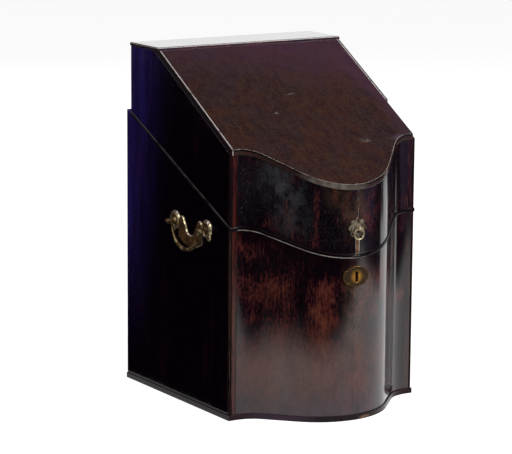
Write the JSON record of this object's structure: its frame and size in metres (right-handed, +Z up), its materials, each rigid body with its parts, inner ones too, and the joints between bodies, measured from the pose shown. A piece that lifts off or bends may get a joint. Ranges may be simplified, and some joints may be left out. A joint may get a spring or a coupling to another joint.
{
  "type": "decanter box",
  "caption": "Serpentine-front mahogany decanter box with a hinged sloping lid, brass bail handles, ring pull, box lock and baize-lined compartments.",
  "frame": {"origin": "centre of the overall box in plan, on the underside of the bottom board", "axes": "+X to the right as seen from the front, +Y to the back, +Z up; the serpentine front faces -Y"},
  "size_m": [0.2484, 0.2815, 0.3705],
  "materials": {
    "mahogany_front": "french polished, flamed red-brown veneer",
    "mahogany_side": "french polished, nearly black",
    "mahogany_top": "french polished brown",
    "stringing": "polished, worn on the edges",
    "bead_wood": "worn through to pale wood",
    "baize": "woollen baize over thin board",
    "brass": "old lacquered brass",
    "aged_brass": "darkened cast brass",
    "lock_steel": "dull steel"
  },
  "bodies": {
    "carcass": {"back_board": "mahogany_side", "back_lining": "baize", "bottom_board": "mahogany_side", "cross_divider": "baize", "escutcheon": "brass", "floor_lining": "baize", "front_board": "mahogany_front", "front_lining": "baize", "hinge_body_screws": "brass", "hinge_pins": "brass", "key_pin": "lock_steel", "left_corner_string": "stringing", "left_handle_nuts": "aged_brass", "left_handle_plate": "aged_brass", "left_handle_posts": "aged_brass", "left_hinge_body_leaf": "brass", "left_lining": "baize", "left_side": "mahogany_side", "lock_cap": "lock_steel", "lock_case": "lock_steel", "lock_plate": "brass", "lock_plate_screws": "brass", "long_divider": "baize", "right_corner_string": "stringing", "right_handle_nuts": "aged_brass", "right_handle_plate": "aged_brass", "right_handle_posts": "aged_brass", "right_hinge_body_leaf": "brass", "right_lining": "baize", "right_side": "mahogany_side"},
    "lid": {"hinge_lid_screws": "brass", "left_hinge_lid_leaf": "brass", "lid_back": "mahogany_side", "lid_front": "mahogany_front", "lid_front_bead": "bead_wood", "lid_left_bead": "bead_wood", "lid_left_corner_string": "stringing", "lid_left_side": "mahogany_side", "lid_right_bead": "bead_wood", "lid_right_corner_string": "stringing", "lid_right_side": "mahogany_side", "lid_slope": "mahogany_top", "lid_top": "mahogany_top", "link_plate": "brass", "link_screws": "brass", "right_hinge_lid_leaf": "brass", "ring_plate": "aged_brass", "ring_post": "aged_brass", "slope_left_string": "stringing", "slope_right_string": "stringing"},
    "left_bail": {"left_bail": "aged_brass"},
    "right_bail": {"right_bail": "aged_brass"},
    "pull_ring": {"pull_ring": "aged_brass"},
    "lock_bolt": {"lock_bolt": "lock_steel"}
  },
  "joints": [
    {"name": "lid_hinge", "type": "hinge", "parent": "carcass", "child": "lid", "pos_m": [0, 0.13455, 0.29723], "axis": [-1, 0, 0], "range_deg": [0, 105]},
    {"name": "left_bail_swing", "type": "hinge", "parent": "carcass", "child": "left_bail", "pos_m": [-0.1214, 0.00435, 0.1918], "axis": [0, 1, 0], "range_deg": [-7, 180]},
    {"name": "right_bail_swing", "type": "hinge", "parent": "carcass", "child": "right_bail", "pos_m": [0.1214, 0.00435, 0.1918], "axis": [0, -1, 0], "range_deg": [-7, 180]},
    {"name": "pull_ring_swing", "type": "hinge", "parent": "lid", "child": "pull_ring", "pos_m": [0, -0.13845, 0.2015], "axis": [-1, 0, 0], "range_deg": [-8, 170]},
    {"name": "lock_bolt_slide", "type": "slide", "parent": "carcass", "child": "lock_bolt", "axis": [1, 0, 0], "range_m": [0, 0.004]}
  ]
}
